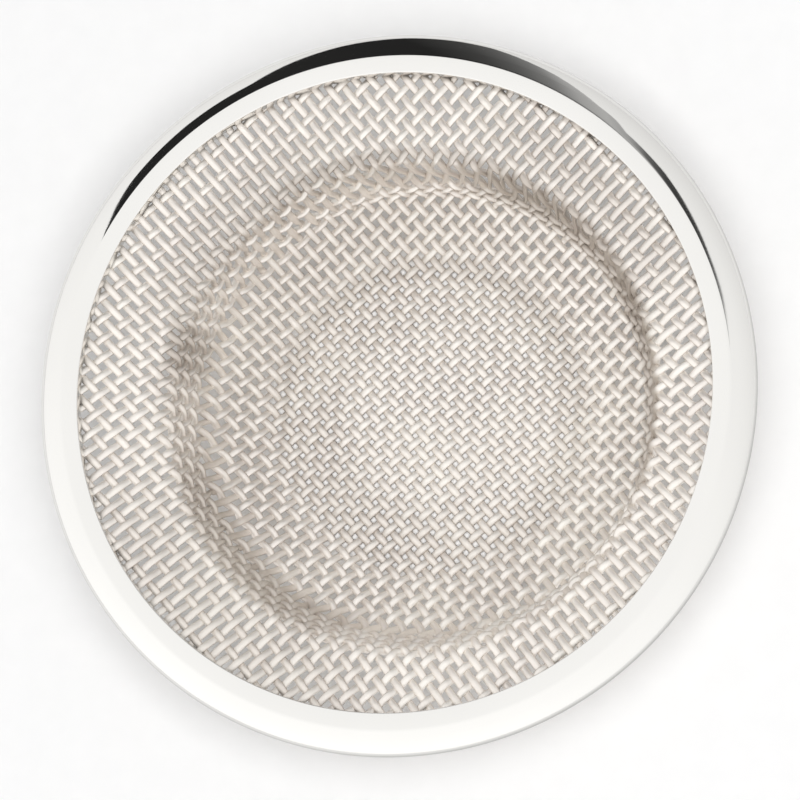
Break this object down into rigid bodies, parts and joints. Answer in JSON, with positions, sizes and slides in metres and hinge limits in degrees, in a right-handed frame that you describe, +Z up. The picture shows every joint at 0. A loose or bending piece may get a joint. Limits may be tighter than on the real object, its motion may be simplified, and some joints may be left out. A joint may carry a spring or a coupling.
{
  "type": "shower drain strainer",
  "caption": "Round shower drain strainer: a woven wire basket with a wide flange, held in the folded edge of a polished sheet steel ring.",
  "frame": {"origin": "below the middle of the ring, on the plane that the basket's base rests on", "axes": "+Z up along the ring's axis, out of the basket's mouth; the basket's own middle lies 1.6 mm off that axis, at 35 degrees from +X towards -Y; the warp wires run 41 degrees from +X towards +Y"},
  "size_m": [0.07, 0.07, 0.0143],
  "materials": {
    "polished_steel": "mirror-polished stainless sheet, about 0.4 mm thick",
    "wire_steel": "bright drawn stainless wire, plain weave"
  },
  "bodies": {
    "root": {"rim_ring": "polished_steel", "warp_left_01": "wire_steel", "warp_left_02": "wire_steel", "warp_left_03": "wire_steel", "warp_left_04": "wire_steel", "warp_left_05": "wire_steel", "warp_left_06": "wire_steel", "warp_left_07": "wire_steel", "warp_left_08": "wire_steel", "warp_left_09": "wire_steel", "warp_left_10": "wire_steel", "warp_left_11": "wire_steel", "warp_left_12": "wire_steel", "warp_left_13": "wire_steel", "warp_right_01": "wire_steel", "warp_right_02": "wire_steel", "warp_right_03": "wire_steel", "warp_right_04": "wire_steel", "warp_right_05": "wire_steel", "warp_right_06": "wire_steel", "warp_right_07": "wire_steel", "warp_right_08": "wire_steel", "warp_right_09": "wire_steel", "warp_right_10": "wire_steel", "warp_right_11": "wire_steel", "warp_right_12": "wire_steel", "warp_right_13": "wire_steel", "weft_left_01": "wire_steel", "weft_left_02": "wire_steel", "weft_left_03": "wire_steel", "weft_left_04": "wire_steel", "weft_left_05": "wire_steel", "weft_left_06": "wire_steel", "weft_left_07": "wire_steel", "weft_left_08": "wire_steel", "weft_left_09": "wire_steel", "weft_left_10": "wire_steel", "weft_left_11": "wire_steel", "weft_left_12": "wire_steel", "weft_left_13": "wire_steel", "weft_right_01": "wire_steel", "weft_right_02": "wire_steel", "weft_right_03": "wire_steel", "weft_right_04": "wire_steel", "weft_right_05": "wire_steel", "weft_right_06": "wire_steel", "weft_right_07": "wire_steel", "weft_right_08": "wire_steel", "weft_right_09": "wire_steel", "weft_right_10": "wire_steel", "weft_right_11": "wire_steel", "weft_right_12": "wire_steel", "weft_right_13": "wire_steel"}
  },
  "joints": []
}
